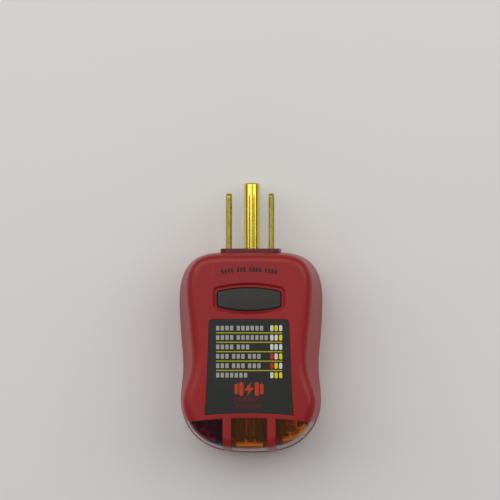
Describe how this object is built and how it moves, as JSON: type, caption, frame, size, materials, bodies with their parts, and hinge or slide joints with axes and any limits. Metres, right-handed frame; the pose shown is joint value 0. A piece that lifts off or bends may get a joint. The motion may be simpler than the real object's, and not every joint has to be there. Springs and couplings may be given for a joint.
{
  "type": "outlet tester plug",
  "caption": "Hand-held receptacle tester with a waisted two-part housing, two flat blades, a round ground pin, a push button, a legend label and lamp windows at its end.",
  "frame": {"origin": "under the middle of the overall box, on the plane of the rear face that it rests on", "axes": "+Y from the lamp end to the prong tips, +Z out of the legend face, +X to the right as the legend is read"},
  "size_m": [0.0432, 0.0816, 0.0293],
  "materials": {
    "red_plastic": "moulded, satin gloss",
    "block_plastic": "moulded, darker red",
    "black_label": "printed film",
    "grey_label": "printed film",
    "screw_steel": "zinc plated",
    "brass": "drawn brass",
    "board": "phenolic laminate",
    "solder": "tin solder",
    "spring_steel": "drawn wire",
    "black_plastic": "fine spark texture",
    "red_clear": "clear, tinted dark red",
    "amber_clear": "clear, tinted amber",
    "resistor_body": "lacquered, colour bands",
    "lamp_glass": "clear glass",
    "nickel": "nickel wire"
  },
  "bodies": {
    "housing": {"front_shell": "red_plastic", "rear_shell": "red_plastic", "legend_label": "black_label", "rear_label": "grey_label", "housing_screws": "screw_steel", "prong_block": "block_plastic", "neutral_blade": "brass", "hot_blade": "brass", "ground_pin": "brass", "ground_strap": "brass", "circuit_board": "board", "solder_joints": "solder", "contact_rivets": "brass", "button_spring": "spring_steel", "red_lens": "red_clear", "amber_lens_middle": "amber_clear", "amber_lens_right": "amber_clear", "lamp_resistor_left": "resistor_body", "lamp_resistor_middle": "resistor_body", "lamp_resistor_right": "resistor_body", "test_resistor_upper": "resistor_body", "test_resistor_lower": "resistor_body", "neon_lamp_left": "lamp_glass", "neon_lamp_middle": "lamp_glass", "neon_lamp_right": "lamp_glass", "lamp_electrodes_left": "nickel", "lamp_electrodes_middle": "nickel", "lamp_electrodes_right": "nickel"},
    "button": {"test_button": "black_plastic", "contact_bridge": "brass"}
  },
  "joints": [
    {"name": "button_press", "type": "slide", "parent": "housing", "child": "button", "axis": [0, 0, -1], "range_m": [0, 0.0015], "stiffness_N_per_m": 600, "springref_m": -0.001, "deforming": ["button_spring"]}
  ]
}
